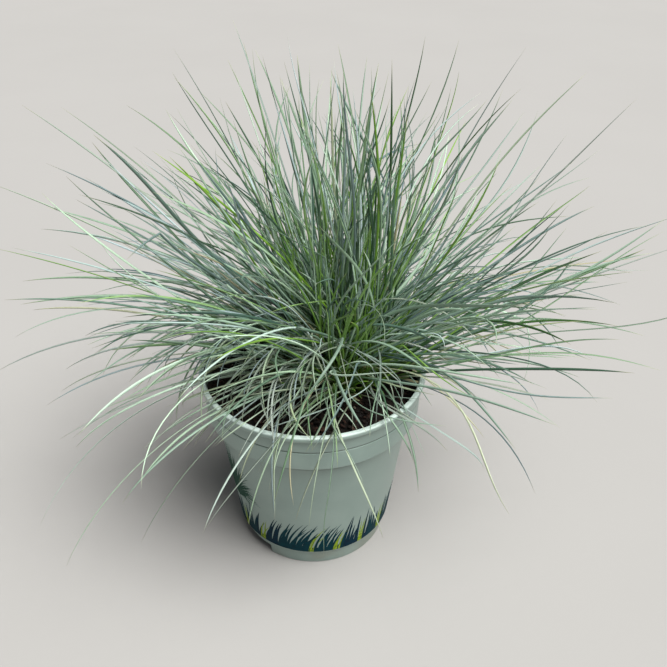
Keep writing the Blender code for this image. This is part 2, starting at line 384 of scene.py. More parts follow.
def tube_faces(count, stations, sides):
    """Corners and sizes of the faces of closed tubes. Their points are in (tube, station, side) order."""
    i, k = np.meshgrid(np.arange(stations - 1), np.arange(sides), indexing="ij")
    after = (k + 1) % sides
    here, there = i * sides, (i + 1) * sides
    walls = np.stack([here + k, here + after, there + after, there + k], -1).reshape(-1, 4)
    near_cap = np.arange(sides)[::-1]
    far_cap = (stations - 1) * sides + np.arange(sides)
    one = np.concatenate([walls.ravel(), near_cap, far_cap])
    shift = np.arange(count) * stations * sides
    corners = (one[None] + shift[:, None]).ravel()
    sizes = np.tile(np.concatenate([np.full(len(walls), 4), [sides, sides]]), count)
    return corners, sizes


def strip_map(mesh, count, stations, sides):
    """A UV map in which each tube has an upright strip of its own, with its caps past the strip's ends."""
    i, k = np.meshgrid(np.arange(stations - 1), np.arange(sides), indexing="ij")
    margin = 0.08
    foot, tall = 0.03, 0.94
    left = margin + (1 - 2 * margin) * k / sides
    right = margin + (1 - 2 * margin) * (k + 1) / sides
    low = foot + tall * i / (stations - 1)
    high = foot + tall * (i + 1) / (stations - 1)
    walls = np.stack([left, low, right, low, right, high, left, high], -1).reshape(-1, 2)
    turn = 2 * math.pi * np.arange(sides) / sides
    ring = np.stack([0.5 + 0.3 * np.cos(turn), 0.012 * np.sin(turn)], -1)
    caps = np.concatenate([ring[::-1] + (0, 0.014), ring + (0, 0.986)])
    one = np.concatenate([walls, caps])
    placed = np.tile(one, (count, 1))
    column = np.repeat(np.arange(count), len(one))
    placed[:, 0] = (column + placed[:, 0]) / count
    layer = mesh.uv_layers.new(name="OFBake")
    layer.data.foreach_set("uv", np.ascontiguousarray(placed, np.float32).ravel())


# ---------------------------------------------------------------- leaves


def unit(vectors):
    return vectors / np.maximum(np.linalg.norm(vectors, axis=-1, keepdims=True), 1e-9)


def ring_of(around):
    """Level unit vectors in these directions, given in radians."""
    return np.column_stack([np.cos(around), np.sin(around)])


def leaf_spines(leaves):
    """Points along many leaves at once, in (leaf, station, xyz) order.

    A leaf sets out at its azimuth and rise. On the way it bends down, swings sideways, may have a
    kink at one point, and waves from side to side more and more.
    """
    u = (np.arange(STATIONS - 1) + 0.5) / (STATIONS - 1)
    rise, bend, azimuth, swing = (
        np.radians(leaves[key])[:, None] for key in ("rise", "bend", "azimuth", "swing")
    )
    kink, kink_at = np.radians(leaves["kink"])[:, None], leaves["kink_at"][:, None]
    wave, wave_at = np.radians(leaves["wave"])[:, None], leaves["wave_at"][:, None]
    ripple = wave * np.sin(2 * math.pi * (0.8 * u + wave_at)) * u
    angle = rise - bend * u**BEND_POWER - kink * (u > kink_at) + 0.6 * ripple
    turn = azimuth + swing * u**SWING_POWER + ripple / np.maximum(np.cos(angle), 0.35)
    level = np.cos(angle)
    heading = np.stack([level * np.cos(turn), level * np.sin(turn), np.sin(angle)], -1)
    steps = heading * (leaves["length"] / (STATIONS - 1))[:, None, None]
    walked = np.concatenate([np.zeros_like(steps[:, :1]), np.cumsum(steps, 1)], 1)
    return leaves["root"][:, None] + walked


def rim_shortfall(spines):
    """How far the points of each leaf's middle line are under what clears the mix and the rim."""
    from_axis = np.hypot(spines[..., 0], spines[..., 1])
    over_mix = from_axis < MIX_RADIUS - 0.001
    over_rim = ~over_mix & (from_axis < RIM_RADIUS + 0.002)
    floor = np.where(over_rim, POT_HEIGHT + RIM_CLEARANCE, -1)
    floor = np.where(over_mix, MIX_TOP + MIX_CLEARANCE, floor)
    return np.max((floor - spines[..., 2])[:, 2:], axis=1)


def raise_over_rim(leaves):
    """Lifts the leaves whose middle lines have points in the rim or the mix, a little at a time.

    A leaf can still touch the rim between two points of its line, or with its edge.
    """
    for _ in range(24):
        low = rim_shortfall(leaf_spines(leaves)) > 0
        if not low.any():
            break
        leaves["rise"] = leaves["rise"] + np.where(low, 2.0, 0.0)
        leaves["bend"] = leaves["bend"] * np.where(low, 0.985, 1.0)


def leaf_mesh(name, leaves):
    """One closed folded blade for each leaf, with the leaf's colour values as attributes."""
    spines = leaf_spines(leaves)
    count = len(spines)
    tangent = unit(np.gradient(spines, axis=1))
    azimuth = np.radians(leaves["azimuth"])
    sideways = np.stack([-np.sin(azimuth), np.cos(azimuth), np.zeros(count)], -1)[:, None]
    side = unit(sideways - tangent * np.sum(sideways * tangent, -1, keepdims=True))
    normal = np.cross(tangent, side)
    u = np.linspace(0, 1, STATIONS)[None]
    twist = np.radians(leaves["twist"][:, None] + leaves["untwist"][:, None] * u)
    cos, sin = np.cos(twist)[..., None], np.sin(twist)[..., None]
    side, normal = side * cos + normal * sin, normal * cos - side * sin
    taper = 1 - np.clip((u - FULL_TO) / (1 - FULL_TO), 0, 1) ** TIP_POWER
    swell = ROOT_SHARE + (1 - ROOT_SHARE) * np.clip(u / FULL_FROM, 0, 1)
    taper = np.maximum(taper * swell, TIP_SHARE)
    half = leaves["half_width"][:, None] * taper
    thick = half * leaves["fold"][:, None]
    fold = np.array(FOLD)
    points = (
        spines[:, :, None]
        + side[:, :, None] * half[..., None, None] * fold[:, 0][:, None]
        + normal[:, :, None] * thick[..., None, None] * fold[:, 1][:, None]
    )
    shape = (count, STATIONS, SIDES)
    attributes = {
        "along": np.broadcast_to(u[..., None], shape),
        "across": np.broadcast_to(fold[:, 0], shape),
    }
    for key in ("tone", "bloom", "youth", "dry", "blue"):
        attributes[key] = np.broadcast_to(leaves[key][:, None, None], shape)
    corners, sizes = tube_faces(count, STATIONS, SIDES)
    mesh = mesh_from_arrays(name, points.reshape(-1, 3), corners, sizes, attributes)
    strip_map(mesh, count, STATIONS, SIDES)
    return mesh


def tuft_line(node):
    """How a tuft's solid runs: its root, azimuth, rise, bend and length, read from its points in rings."""
    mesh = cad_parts[node].data
    points = np.empty(len(mesh.vertices) * 3, np.float32)
    mesh.vertices.foreach_get("co", points)
    points = points.reshape(-1, 3)
    start = np.array([CROWN[0], CROWN[1], CROWN_FOOT])
    order = np.argsort(np.linalg.norm(points - start, axis=1))
    rings = 8
    spine = np.array([ring.mean(0) for ring in np.array_split(points[order], rings)])
    steps = np.diff(spine, axis=0)
    lengths = np.linalg.norm(steps, axis=1)
    climb = np.degrees(np.arcsin(steps[:, 2] / lengths))
    first, last = (0.5 / (rings - 1)) ** BEND_POWER, (1 - 0.5 / (rings - 1)) ** BEND_POWER
    bend = (climb[0] - climb[-1]) / (last - first)
    reach = spine[-1] - spine[0]
    return {
        "root": spine[0],
        "azimuth": math.degrees(math.atan2(reach[1], reach[0])),
        "rise": climb[0] + bend * first,
        "bend": bend,
        "length": lengths.sum(),
    }


def on_dome(flat):
    """Puts level points just into the crown's dome, drawing in those past its edge."""
    from_crown = flat - CROWN[:2]
    far = np.linalg.norm(from_crown, axis=1)
    edge = 0.95 * CROWN_RADIUS
    flat = CROWN[:2] + from_crown * np.minimum(1, edge / np.maximum(far, 1e-6))[:, None]
    far = np.minimum(far, edge)
    sunk = 0.0010
    height = CROWN_FOOT + CROWN_RISE * np.sqrt(1 - (far / CROWN_RADIUS) ** 2) - sunk
    return np.column_stack([flat, height])


def some(rng, count, share, low, high):
    """A value from low to high for that share of the leaves, and 0 for the rest."""
    return np.where(rng.random(count) < share, rng.uniform(low, high, count), 0.0)


def frontness(azimuth):
    """1 for what leans straight to the front, falling to 0 at the sides and the back."""
    return np.clip((-np.sin(np.radians(azimuth)) - 0.1) / 0.5, 0, 1)


def draw_leaves(rng, line, scatter):
    """Leaves scattered round a tuft's line. They grow in shoots, and those of one shoot lean alike."""
    front = frontness(line["azimuth"])
    shoots = max(1, round(scatter["shoots"] * (1 - scatter["thin_front"] * front)))
    per_shoot = rng.integers(2, 5, shoots) if front > 0.4 else rng.integers(3, 9, shoots)
    count = per_shoot.sum()

    def shared(wide, close):
        """What differs from shoot to shoot by wide, and within a shoot by close."""
        return np.repeat(rng.normal(0, wide, shoots), per_shoot) + rng.normal(0, close, count)

    azimuth = line["azimuth"] + shared(scatter["azimuth"], 15)
    rise = line["rise"] + shared(scatter["rise"], 8)
    own_side = 0.5 * scatter["own_side"] * ring_of(math.radians(line["azimuth"]))
    far = (1 - 0.5 * scatter["own_side"]) * np.sqrt(rng.random(shoots))
    around = rng.uniform(0, 2 * math.pi, shoots)
    spots = CROWN[:2] + CROWN_RADIUS * (own_side + far[:, None] * ring_of(around))
    flat = np.repeat(spots, per_shoot, axis=0) + rng.normal(0, 0.0022, (count, 2))
    bend = line["bend"] + shared(scatter["bend"], 9)
    hooked = rng.random(count) < scatter["hooked"]
    bend = np.where(hooked, bend + rng.uniform(40, 100, count), bend)
    length = line["length"] * (1.04 - scatter["short"] * rng.beta(1.0, 1.1, count))
    length = np.where(hooked, length * 0.75, length)
    youth = some(rng, count, scatter["young"], 0.4, 1.0)
    bloom = np.clip(scatter["bloom"] + shared(0.20, 0.22), 0.02, 1.0)
    return {
        "root": on_dome(flat),
        "azimuth": azimuth,
        "rise": np.minimum(rise, 100.0),
        "bend": np.minimum(bend, 150.0),
        "swing": shared(scatter["swing"], 18),
        "length": length,
        "kink": some(rng, count, 0.05, 15, 50),
        "kink_at": rng.uniform(0.45, 0.85, count),
        "wave": rng.normal(0, 12, count),
        "wave_at": rng.random(count),
        "twist": rng.uniform(-70, 70, count),
        "untwist": rng.normal(0, 90, count),
        "half_width": LEAF_HALF_WIDTH * rng.lognormal(0, 0.22, count),
        "fold": rng.uniform(0.70, 1.15, count),
        "tone": rng.random(count),
        "bloom": bloom * (1 - 0.8 * youth),
        "youth": youth,
        "dry": some(rng, count, scatter["dry"], 0.35, 0.95),
        "blue": np.clip(0.5 + shared(0.18, 0.12), 0, 1),
    }


# How much the leaves of each kind of tuft differ. azimuth, rise, bend and swing are how widely its
# shoots are scattered round the tuft's line, as standard deviations in degrees. short is the most that
# a leaf lacks of the tuft's length, and own_side is how far its roots keep to the tuft's side of the
# crown. hooked, dry and young are shares of the leaves, and bloom is the usual amount of wax.
# thin_front is the share of shoots that a tuft leaning to the front lacks.
SCATTER = {
    "heart": dict(shoots=3, azimuth=80, rise=15, bend=14, swing=26, short=0.60, own_side=0.0,
                  hooked=0.02, dry=0.02, young=0.42, bloom=0.42, thin_front=0.0),
    "inner": dict(shoots=5, azimuth=42, rise=13, bend=14, swing=26, short=0.60, own_side=0.0,
                  hooked=0.03, dry=0.03, young=0.26, bloom=0.55, thin_front=0.3),
    "middle": dict(shoots=6, azimuth=28, rise=11, bend=14, swing=26, short=0.60, own_side=0.1,
                   hooked=0.03, dry=0.03, young=0.08, bloom=0.64, thin_front=0.5),
    "outer": dict(shoots=5, azimuth=20, rise=9, bend=14, swing=24, short=0.58, own_side=0.5,
                  hooked=0.03, dry=0.04, young=0.06, bloom=0.72, thin_front=0.90),
    "leaves": dict(shoots=2, azimuth=12, rise=7, bend=7, swing=18, short=0.50, own_side=0.7,
                   hooked=0.01, dry=0.10, young=0.05, bloom=0.76, thin_front=0.8),
}


def make_tufts():
    """One piece of leaves for each tuft's solid, which they spread well past."""
    for node in sorted(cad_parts):
        kind = node.split("_")[1] if "_" in node else node
        if kind not in SCATTER:
            continue
        leaves = draw_leaves(rng_for(node), tuft_line(node), SCATTER[kind])
        raise_over_rim(leaves)
        name = node + "_blades"
        piece = new_piece(name, leaf_mesh(name, leaves), LEAF)
        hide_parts(node)


# Leaves that stray from the clump. Each has its root's distance in mm and direction from the crown's
# middle, and then its azimuth, rise, bend, length in mm, swing and wave.
STRAYS = (
    # Over the front rim and down.
    (30, -120, -106, 24, 80, 170, -44, 6),
    (30, -130, -116, 26, 88, 170, -16, 0),
    (30, -140, -120, 28, 112, 150, 44, 0),
    (32, -115, -114, 28, 104, 150, -6, 0),
    (30, -125, -122, 30, 108, 125, -6, 0),
    (33, -100, -97, 28, 108, 140, -10, 0),
    (33, -70, -104, 24, 96, 140, -24, 0),
    (32, -110, -100, 28, 130, 120, -60, 0),
    (30, -105, -98, 30, 96, 160, 52, 0),
    # Over the rim at the front left, long and low.
    (30, -155, -138, 20, 76, 245, 0, 0),
    (30, -170, -148, 26, 84, 250, 6, -6),
    (30, -145, -128, 22, 78, 200, -6, 6),
    (30, -165, -144, 20, 62, 150, -4, 0),
    (28, -150, -138, 22, 66, 130, -6, 6),
    (25, -170, -152, 18, 44, 205, -10, 0),
    (30, 180, -156, 16, 36, 170, -10, 0),
    (25, 175, -162, 24, 60, 215, -14, -12),
    (25, 170, -168, 22, 56, 215, -8, 14),
    (28, 172, -169, 32, 60, 250, 0, 0),
    (30, 175, -172, 30, 62, 205, -4, 14),
    (30, -165, -156, 24, 62, 195, -6, 0),
    (20, 165, -172, 54, 122, 210, 8, 0),
    # Short ones over the mix.
    (30, -110, -120, 34, 110, 70, 30, 0),
    (33, -100, -115, 24, 60, 62, -30, 0),
    (30, -140, -150, 30, 60, 80, 30, 20),
    (30, -130, -150, 36, 120, 80, 60, 0),
    (32, -80, -55, 18, 46, 92, 10, 0),
    (32, -70, -60, 16, 40, 62, 60, 0),
    # Arcs and hooks before the clump.
    (20, 170, -30, 74, 118, 185, -8, 0),
    (15, -160, -32, 56, 88, 120, 10, 0),
    (0, 0, -160, 84, 118, 170, -10, 0),
    (10, 180, -172, 52, 128, 105, -20, 0),
    (25, 180, -172, 34, 110, 70, -20, 0),
    (20, -150, -58, 64, 185, 108, 0, 0),
    (20, -40, -55, 52, 165, 78, -30, 0),
    # Long ones that stand out of the top and the sides.
    (20, 170, 172, 52, 18, 292, 0, 4),
    (15, 180, 166, 55, 20, 275, 6, -4),
    (25, 160, 178, 42, 20, 280, 0, 5),
    (20, 150, 150, 70, 16, 262, 4, 0),
    (10, 120, 140, 74, 12, 270, 0, 4),
    (20, 20, 24, 56, 16, 280, 0, 4),
    (25, 0, 16, 50, 14, 285, 0, -4),
    (25, 30, 34, 64, 14, 270, 0, 3),
    (25, -10, 6, 34, 14, 262, 0, 4),
    (28, 0, 2, 28, 12, 258, 4, 0),
    # Low on the right.
    (20, -20, -34, 24, 52, 165, 4, 0),
    (25, -40, -26, 20, 30, 145, 6, 0),
)


def loose_leaves(name, slot, rng, count, out, around, **given):
    """A piece of leaves that belong to no tuft.

    They root at a distance, out, and a direction, around, from the crown's middle. What isn't given
    is drawn here.
    """
    leaves = {
        "root": on_dome(CROWN[:2] + out[:, None] * ring_of(np.radians(around))),
        "kink": some(rng, count, 0.06, 15, 50),
        "kink_at": rng.uniform(0.45, 0.85, count),
        "wave": rng.normal(0, 18, count),
        "wave_at": rng.random(count),
        "twist": rng.uniform(-60, 60, count),
        "untwist": rng.normal(0, 85, count),
        "half_width": LEAF_HALF_WIDTH * rng.lognormal(-0.12, 0.20, count),
        "fold": rng.uniform(0.70, 1.0, count),
        "tone": rng.random(count),
        "youth": some(rng, count, 0.05, 0.4, 0.9),
        **given,
    }
    raise_over_rim(leaves)
    new_piece(name, leaf_mesh(name, leaves), LEAF)


def make_strays():
    """The long and the hooked leaves that show on their own in front of, over and beside the clump."""
    rng = rng_for("strays")
    count = len(STRAYS)
    out, around, azimuth, rise, bend, length, swing, wave = np.array(STRAYS, float).T
    loose_leaves(
        "stray_leaves", "arching_leaves", rng, count,
        out=0.001 * out,
        around=around,
        azimuth=azimuth,
        rise=rise,
        bend=bend,
        length=0.001 * length,
        swing=swing,
        wave=wave,
        wave_at=np.zeros(count),
        kink=np.zeros(count),
        half_width=LEAF_HALF_WIDTH * rng.uniform(0.74, 0.98, count),
        tone=rng.uniform(0.15, 0.62, count),
        bloom=rng.uniform(0.60, 0.95, count),
        youth=np.zeros(count),
        dry=rng.uniform(0.06, 0.32, count),
        blue=rng.uniform(0.40, 0.85, count),
    )


def make_front():
    """Fine leaves that flop over the mix and the rim at the front left, crossing one another."""
    rng = rng_for("front")
    count = 100
    draped = rng.random(count) < 0.42
    loose_leaves(
        "front_leaves", "arching_leaves", rng, count,
        out=rng.uniform(0.25, 1.0, count) * CROWN_RADIUS,
        around=rng.uniform(-210, -30, count),
        azimuth=rng.triangular(-198, -158, -60, count),
        rise=np.where(draped, rng.uniform(56, 86, count), rng.uniform(14, 46, count)),
        bend=np.where(draped, rng.uniform(120, 185, count), rng.uniform(45, 115, count)),
        length=np.where(draped, rng.uniform(0.110, 0.185, count), rng.uniform(0.065, 0.155, count)),
        swing=rng.normal(0, 60, count),
        wave=rng.normal(0, 24, count),
        tone=rng.uniform(0.10, 0.75, count),
        bloom=rng.uniform(0.45, 0.95, count),
        dry=rng.uniform(0.0, 0.30, count),
        blue=rng.uniform(0.30, 0.90, count),
    )


def make_young():
    """Bright green upright leaves at the front edge of the crown, among the older ones."""
    rng = rng_for("young")
    count = 34
    loose_leaves(
        "young_leaves", "upright_leaves", rng, count,
        out=rng.uniform(0.45, 1.0, count) * CROWN_RADIUS,
        around=rng.uniform(-150, -15, count),
        azimuth=rng.normal(-80, 70, count),
        rise=rng.uniform(66, 96, count),
        bend=rng.uniform(0, 35, count),
        length=rng.uniform(0.055, 0.150, count),
        swing=rng.normal(0, 18, count),
        wave=rng.normal(0, 8, count),
        bloom=rng.uniform(0.05, 0.35, count),
        youth=rng.uniform(0.50, 1.0, count),
        dry=np.zeros(count),
        blue=np.zeros(count),
    )


def make_crown():
    """The mound of leaf bases: short broad sheaths packed on the crown's dome, some of them dead."""
    rng = rng_for("crown")
    count = 300
    far = CROWN_RADIUS * np.sqrt(rng.random(count))
    around = rng.uniform(0, 2 * math.pi, count)
    flat = CROWN[:2] + far[:, None] * ring_of(around)
    rise = 88 - 52 * (far / CROWN_RADIUS) ** 1.2
    dead = some(rng, count, 0.16, 0.5, 1.0)
    sheaths = {
        "root": on_dome(flat) - (0, 0, 0.0030),
        "azimuth": np.degrees(around) + rng.normal(0, 14, count),
        "rise": rise + rng.normal(0, 9, count),
        "bend": rng.uniform(-8, 20, count) + 40 * dead,
        "swing": rng.normal(0, 10, count),
        "length": rng.uniform(0.022, 0.052, count),
        "kink": some(rng, count, 0.1, 10, 40),
        "kink_at": rng.uniform(0.4, 0.8, count),
        "wave": rng.normal(0, 10, count),
        "wave_at": rng.random(count),
        "twist": rng.uniform(-60, 60, count),
        "untwist": rng.normal(0, 40, count),
        "half_width": rng.uniform(0.0008, 0.0014, count),
        "fold": rng.uniform(0.9, 1.3, count),
        "tone": rng.random(count),
        "bloom": rng.uniform(0.0, 0.25, count),
        "youth": rng.uniform(0.2, 1.0, count) * (dead == 0),
        "dry": dead,
        "blue": np.zeros(count),
    }
    sheath_piece = new_piece("crown_sheaths", leaf_mesh("crown_sheaths", sheaths), LEAF)
    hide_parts("crown")


# ---------------------------------------------------------------- the pot and its print

# The pot's corners from the middle of its floor, up the inside, over the rim, down the outside and
# back under the floor: radius, height and how round each corner is. They match the frame's solid.
BODY_TOP_RADIUS = 0.0790
BODY_TOP_HEIGHT = 0.1278
BODY_FOOT_RADIUS = 0.0651
BODY_FOOT_HEIGHT = 0.0164
FLOOR_TOP = 0.0125
POT_SIDES = 192
POT_CORNERS = (
    (0.0, WALL, 0.0),
    (0.0106, WALL, 0.0015),
    (0.0140, FLOOR_TOP, 0.0015),
    (0.0629, FLOOR_TOP, 0.0020),
    (0.0773, 0.1300, 0.0010),
    (0.0838, 0.1307, 0.0012),
    (0.0849, 0.1575, 0.0030),
    (0.0858, 0.1625, 0.0014),
    (0.0900, 0.1625, 0.0017),
    (0.0900, 0.1582, 0.0014),
    (0.0868, 0.1577, 0.0006),
    (0.0866, 0.1466, 0.0003),
    (0.0857, 0.1457, 0.0002),
    (0.0865, 0.1448, 0.0003),
    (0.0861, 0.1290, 0.0010),
    (0.0792, 0.1288, 0.0006),
    (BODY_FOOT_RADIUS, BODY_FOOT_HEIGHT, 0.0008),
    (0.0630, 0.0156, 0.0004),
    (0.0607, 0.0, 0.0006),
    (0.0590, 0.0, 0.0004),
    (0.0607, 0.0108, 0.0010),
    (0.0157, 0.0108, 0.0010),
    (0.0123, 0.0, 0.0006),
    (0.0, 0.0, 0.0),
)
NOTCH_ANGLES = (-152.0, 28.0)
NOTCH_SPAN = 50.0
NOTCH_INNER_RADIUS = 0.0540
NOTCH_OUTER_RADIUS = 0.0710
NOTCH_HEIGHT = 0.0096
NOTCH_CUT_FROM = -0.005
DRAIN_COUNT = 8
DRAIN_RADIUS = 0.0035
DRAIN_RING_RADIUS = 0.0430
DRAIN_CUT_DEPTH = 0.006
SHARP_ANGLE = 40.0


def rounded(corners, turns=5):
    """The profile with each corner eased into a short curve."""
    points = []
    for i, (radius, height, ease) in enumerate(corners):
        here = Vector((radius, height))
        if ease == 0 or i in (0, len(corners) - 1):
            points.append(here)
            continue
        before = Vector(corners[i - 1][:2]) - here
        after = Vector(corners[i + 1][:2]) - here
        start = here + before.normalized() * min(ease, 0.45 * before.length)
        end = here + after.normalized() * min(ease, 0.45 * after.length)
        for turn in range(turns + 1):
            t = turn / turns
            points.append(start.lerp(here, t).lerp(here.lerp(end, t), t))
    return points


def turned_mesh(name, profile, sides):
    """A closed round mesh from a profile that starts and ends on the axis, inner side first."""
    shape = bmesh.new()
    rings = []
    for point in profile:
        if point.x < 1e-6:
            rings.append([shape.verts.new((0, 0, point.y))])
            continue
        ring = []
        for k in range(sides):
            turn = 2 * math.pi * k / sides
            ring.append(shape.verts.new((point.x * math.cos(turn), point.x * math.sin(turn), point.y)))
        rings.append(ring)
    for one, two in zip(rings, rings[1:]):
        for k in range(sides):
            near = [one[k % len(one)], one[(k + 1) % len(one)]]
            far = [two[(k + 1) % len(two)], two[k % len(two)]]
            shape.faces.new(list(dict.fromkeys(near + far)))
    bmesh.ops.recalc_face_normals(shape, faces=shape.faces)
    mesh = bpy.data.meshes.new(name)
    shape.to_mesh(mesh)
    shape.free()
    return mesh


def cutter(name, shape):
    """An object to cut with, made from a bmesh."""
    mesh = bpy.data.meshes.new(name)
    bmesh.ops.recalc_face_normals(shape, faces=shape.faces)
    shape.to_mesh(mesh)
    shape.free()
    made = bpy.data.objects.new(name, mesh)
    bpy.context.scene.collection.objects.link(made)
    return made


def notch_cutter(angle):
    """A wedge over the foot ring, under the pot's floor."""
    wedge = bmesh.new()
    half = math.radians(NOTCH_SPAN / 2)
    turns = 24
    across = [math.radians(angle) - half + 2 * half * i / turns for i in range(turns + 1)]
    outline = [(NOTCH_OUTER_RADIUS * math.cos(a), NOTCH_OUTER_RADIUS * math.sin(a)) for a in across]
    across.reverse()
    outline += [(NOTCH_INNER_RADIUS * math.cos(a), NOTCH_INNER_RADIUS * math.sin(a)) for a in across]
    floor = wedge.faces.new([wedge.verts.new((x, y, NOTCH_CUT_FROM)) for x, y in outline])
    raised = bmesh.ops.extrude_face_region(wedge, geom=[floor])["geom"]
    top = [v for v in raised if isinstance(v, bmesh.types.BMVert)]
    bmesh.ops.translate(wedge, verts=top, vec=(0, 0, NOTCH_HEIGHT - NOTCH_CUT_FROM))
    return cutter("notch", wedge)


def drain_cutter(index):
    """A rod through the pot's floor, at one of the places in the ring of drainage holes."""
    rod = bmesh.new()
    ends = dict(radius1=DRAIN_RADIUS, radius2=DRAIN_RADIUS)
    bmesh.ops.create_cone(rod, cap_ends=True, segments=32, depth=DRAIN_CUT_DEPTH, **ends)
    angle = 2 * math.pi * (index + 0.5) / DRAIN_COUNT
    centre = (DRAIN_RING_RADIUS * math.cos(angle), DRAIN_RING_RADIUS * math.sin(angle))
    bmesh.ops.translate(rod, verts=rod.verts, vec=(*centre, FLOOR_TOP - WALL / 2))
    return cutter("drain", rod)


def make_pot():
    """The pot's shell, turned from its profile, with its notches and drainage holes cut out."""
    mesh = turned_mesh("pot_shell", rounded(POT_CORNERS), POT_SIDES)
    pot = new_piece("pot_shell", mesh, PLASTIC)
    tools = [notch_cutter(angle) for angle in NOTCH_ANGLES]
    tools += [drain_cutter(i) for i in range(DRAIN_COUNT)]
    for tool in tools:
        cut = pot.modifiers.new(tool.name, "BOOLEAN")
        cut.object = tool
    bpy.context.view_layer.update()
    as_cut = pot.evaluated_get(bpy.context.evaluated_depsgraph_get())
    finished = bpy.data.meshes.new_from_object(as_cut)
    pot.modifiers.clear()
    pot.data = finished
    for tool in tools:
        bpy.data.objects.remove(tool)
    finished.shade_smooth()
    finished.set_sharp_from_angle(angle=math.radians(SHARP_ANGLE))
    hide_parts("pot")


def wall_radius(height):
    """The outside radius of the pot's tapered body at a height."""
    share = (height - BODY_FOOT_HEIGHT) / (BODY_TOP_HEIGHT - BODY_FOOT_HEIGHT)
    return BODY_FOOT_RADIUS + (BODY_TOP_RADIUS - BODY_FOOT_RADIUS) * share


# How far the ink stands proud of the wall and reaches into it, and how far the strokes of the fringe
# are lifted past that, so that two that cross are never level.
INK_PROUD = 0.00006
INK_DEPTH = 0.00020
LIME_LIFT = 0.00004
DARK_LIFTS = (0.00006, 0.00002)

# The attribute value of each ink that its material reads.
TEAL, NAVY, LEAF_GREEN, LIME = 0.0, 0.4, 0.6, 1.0

PRINT_STATIONS = 12


def printed_strokes(around, height, half_width, hue, lift=0.0):
    """Thin raised strokes of ink on the pot's wall. around and height hold each stroke's middle line.

    Gives the corners of each stroke's cross-sections, and the ink's value for each corner.
    """
    slope = np.gradient(height, axis=1)
    sweep = np.gradient(around, axis=1) * wall_radius(height)
    long = np.maximum(np.hypot(slope, sweep), 1e-9)
    side_up, side_round = -sweep / long, slope / long
    points = []
    for edge, proud in ((-1, INK_PROUD), (1, INK_PROUD), (1, -INK_DEPTH), (-1, -INK_DEPTH)):
        up = height + edge * half_width * side_up
        radius = wall_radius(up) + proud + lift
        angle = around + edge * half_width * side_round / radius
        points.append(np.stack([radius * np.cos(angle), radius * np.sin(angle), up], -1))
    points = np.stack(points, 2)
    return points, np.broadcast_to(hue[:, None, None], points.shape[:3])


def fringe_strokes(rng):
    """Grass blades printed in a ring round the pot's foot, leaning one way, with lime tufts."""
    count = 209
    lime_every = 11
    index = np.arange(count)
    start = 2 * math.pi * (index + rng.uniform(-0.35, 0.35, count)) / count
    lime = (index % lime_every < 3) & (index // lime_every % 5 != 3)
    tall = np.where(lime, rng.uniform(0.020, 0.031, count), rng.uniform(0.023, 0.038, count))
    lean = 0.10 + 0.09 * np.sin(3 * start + 0.6) + rng.uniform(-0.05, 0.05, count)
    patch = np.sin(5 * start) + 0.7 * np.sin(11 * start + 1.0)
    hue = np.where(lime, LIME, np.where(patch > 0.35, NAVY, TEAL))
    s = np.linspace(0, 1, PRINT_STATIONS)[None]
    around = start[:, None] + lean[:, None] * s**1.8
    height = BODY_FOOT_HEIGHT + 0.0012 + tall[:, None] * s
    wide = np.where(lime, 0.0009, rng.uniform(0.0012, 0.0018, count))
    half = wide[:, None] * np.maximum((1 - s) ** 0.85 * (0.95 + 0.5 * s), 0.03)
    lift = np.where(lime, LIME_LIFT, np.where(rng.random(count) < 0.5, *DARK_LIFTS))
    return printed_strokes(around, height, half, hue, lift[:, None])


def band_strokes():
    """The solid ink along the foot of the fringe, as short stretches that meet end to end."""
    stretches = 16
    s = np.linspace(0, 1, PRINT_STATIONS)[None]
    start = np.arange(stretches)[:, None]
    around = 2 * math.pi * (start + s) / stretches
    height = np.full_like(around, BODY_FOOT_HEIGHT + 0.0040)
    half = np.full_like(around, 0.0028)
    hue = np.where(np.arange(stretches) % 3 == 1, NAVY, TEAL)
    return printed_strokes(around, height, half, hue)


def tuft_strokes(rng):
    """A printed round tuft of fine leaves on the side of the pot."""
    count = 210
    middle = math.radians(-156)
    fan = np.sort(rng.uniform(-1.0, 1.0, count))
    reach = rng.uniform(0.60, 1.0, count)
    s = np.linspace(0, 1, PRINT_STATIONS)[None]
    spread = 0.46 * np.sin(1.35 * fan)[:, None] * reach[:, None] * s
    around = middle + 0.05 * fan[:, None] + spread
    climb = 0.066 * np.cos(1.15 * fan)[:, None] * reach[:, None] * s
    height = 0.052 + climb - 0.022 * np.abs(fan)[:, None] * s**2.4
    half = 0.00062 * np.maximum((1 - s) ** 0.6, 0.05) * np.ones((count, 1))
    return printed_strokes(around, height, half, np.full(count, LEAF_GREEN))


def make_print():
    """All the printed grass, as one piece."""
    rng = rng_for("print")
    groups = [band_strokes(), tuft_strokes(rng), fringe_strokes(rng)]
    points, hue = (np.concatenate(values) for values in zip(*groups))
    corners, sizes = tube_faces(len(points), PRINT_STATIONS, 4)
    mesh = mesh_from_arrays("printed_grass", points.reshape(-1, 3), corners, sizes, {"hue": hue})
    strip_map(mesh, len(points), PRINT_STATIONS, 4)
    mesh.polygons.foreach_set("use_smooth", np.zeros(len(mesh.polygons), bool))
    new_piece("printed_grass", mesh, INK)


# ---------------------------------------------------------------- the potting mix


